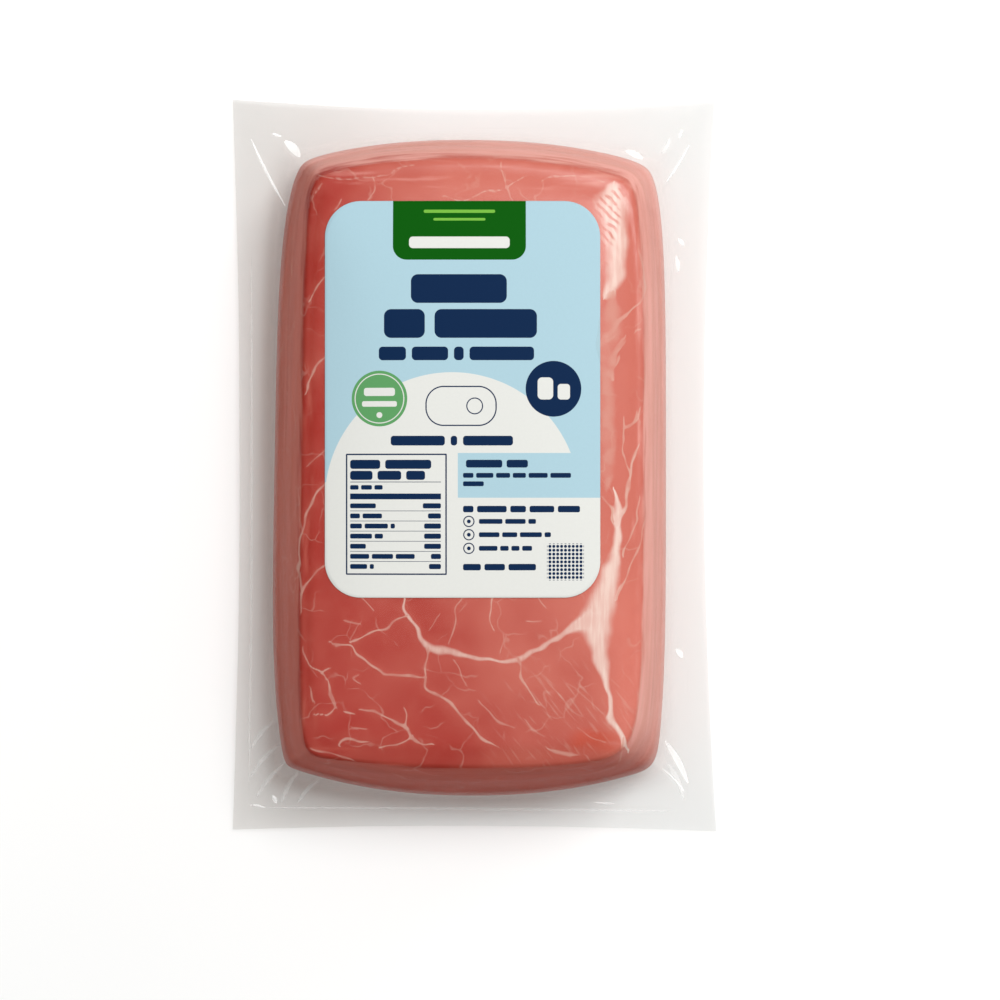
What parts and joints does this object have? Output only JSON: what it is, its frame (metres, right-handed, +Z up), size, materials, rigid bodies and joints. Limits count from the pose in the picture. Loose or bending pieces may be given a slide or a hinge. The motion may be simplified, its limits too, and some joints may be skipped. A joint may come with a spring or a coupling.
{
  "type": "vacuum-packed raw pork loin",
  "caption": "Raw boneless pork loin block, vacuum packed in a clear sealed pouch with a flat border and a paper label on its front, lying label up.",
  "frame": {"origin": "the middle of the pouch's outline, on the surface that the pack lies on", "axes": "+X towards the pack's right edge and +Y towards its top end as the label is read, +Z up out of the labelled side"},
  "size_m": [0.1576, 0.2384, 0.0622],
  "materials": {
    "film": "clear glossy vacuum film",
    "meat": "moist raw meat with pale fat seams",
    "label_paper": "satin coated print"
  },
  "bodies": {
    "root": {"pouch": "film", "label": "label_paper"}
  },
  "joints": []
}
